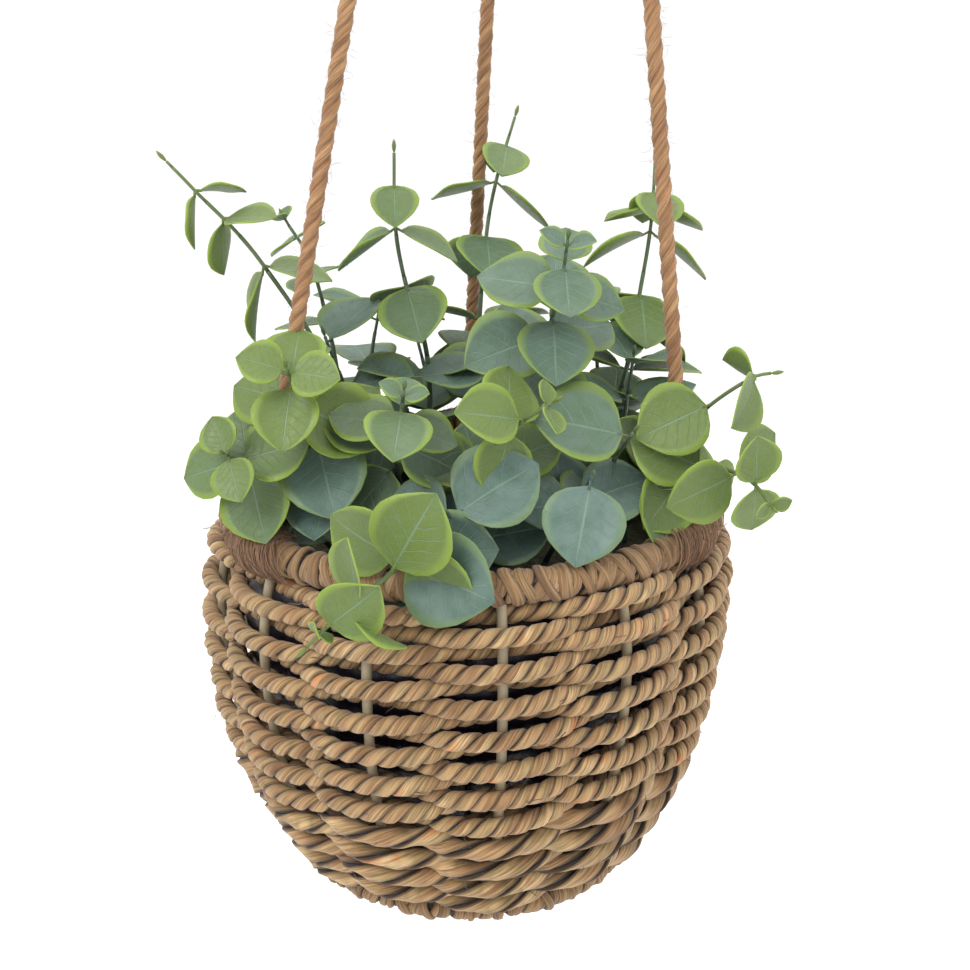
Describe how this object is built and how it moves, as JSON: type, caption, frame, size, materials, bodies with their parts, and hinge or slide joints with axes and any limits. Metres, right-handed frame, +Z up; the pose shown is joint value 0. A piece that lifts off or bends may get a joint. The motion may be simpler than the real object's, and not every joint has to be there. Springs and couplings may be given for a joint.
{
  "type": "hanging basket",
  "caption": "Round woven rope basket on wire stakes, hung level on jute ropes from a knot and eye, filled with round-leaved eucalyptus.",
  "frame": {"origin": "where a hook bears: the inner top of the hanging loop's eye", "axes": "+Z up, -Y the front of the basket, +X to the right seen from the front; the basket's own axis is 21 mm to -X"},
  "size_m": [0.204, 0.2157, 0.6321],
  "materials": {
    "jute_rope": "twisted jute, fuzzy",
    "seagrass_rope": "two-ply seagrass rope, dry and fibrous",
    "seagrass_wrap": "seagrass strands wound round a wire",
    "coated_stake": "cream coating, satin",
    "frame_wire": "dark coated wire",
    "liner_film": "dark thin film, slightly glossy",
    "foam": "moss-covered foam",
    "eucalyptus": "matt grey-green leaves with a waxy bloom"
  },
  "bodies": {
    "hanger": {"hanging_loop": "jute_rope", "rope_whipping": "jute_rope"},
    "knot": {"hanging_knot": "jute_rope"},
    "basket": {"rim_wire": "frame_wire", "rim_binding": "seagrass_wrap", "base_wire": "frame_wire", "base_binding": "seagrass_wrap", "base_floor": "seagrass_wrap", "stake_01": "coated_stake", "stake_02": "coated_stake", "stake_03": "coated_stake", "stake_04": "coated_stake", "stake_05": "coated_stake", "stake_06": "coated_stake", "stake_07": "coated_stake", "stake_08": "coated_stake", "stake_09": "coated_stake", "stake_10": "coated_stake", "stake_11": "coated_stake", "stake_12": "coated_stake", "stake_13": "coated_stake", "weave_01": "seagrass_rope", "weave_02": "seagrass_rope", "weave_03": "seagrass_rope", "weave_04": "seagrass_rope", "weave_05": "seagrass_rope", "weave_06": "seagrass_rope", "weave_07": "seagrass_rope", "weave_08": "seagrass_rope", "weave_09": "seagrass_rope", "weave_10": "seagrass_rope", "weave_11": "seagrass_rope", "weave_12": "seagrass_rope", "weave_13": "seagrass_rope", "weave_14": "seagrass_rope", "weave_15": "seagrass_rope", "weave_16": "seagrass_rope", "weave_17": "seagrass_rope", "weave_18": "seagrass_rope", "weave_19": "seagrass_rope", "weave_20": "seagrass_rope", "weave_21": "seagrass_rope", "weave_22": "seagrass_rope", "liner": "liner_film", "foam": "foam", "rope_left": "jute_rope", "rope_right": "jute_rope", "rope_back": "jute_rope", "lashing_left": "jute_rope", "lashing_right": "jute_rope", "lashing_back": "jute_rope", "sprig_arching_left": "eucalyptus", "sprig_tall_left": "eucalyptus", "sprig_tall_back": "eucalyptus", "sprig_high_right": "eucalyptus", "sprig_back_right": "eucalyptus", "sprig_leaning_right": "eucalyptus", "sprig_front_right": "eucalyptus", "sprig_centre": "eucalyptus", "sprig_centre_left": "eucalyptus", "sprig_left_head": "eucalyptus", "sprig_far_left": "eucalyptus", "sprig_low_front": "eucalyptus", "sprig_over_rim": "eucalyptus"}
  },
  "joints": [
    {"name": "basket_turn", "type": "hinge", "parent": "hanger", "child": "knot", "pos_m": [0, 0, -0.06225], "axis": [0, 0, 1], "range_deg": [-180, 180]},
    {"name": "basket_swing", "type": "hinge", "parent": "knot", "child": "basket", "pos_m": [0, 0, -0.06225], "axis": [1, 0, 0], "range_deg": [-20, 20]}
  ]
}
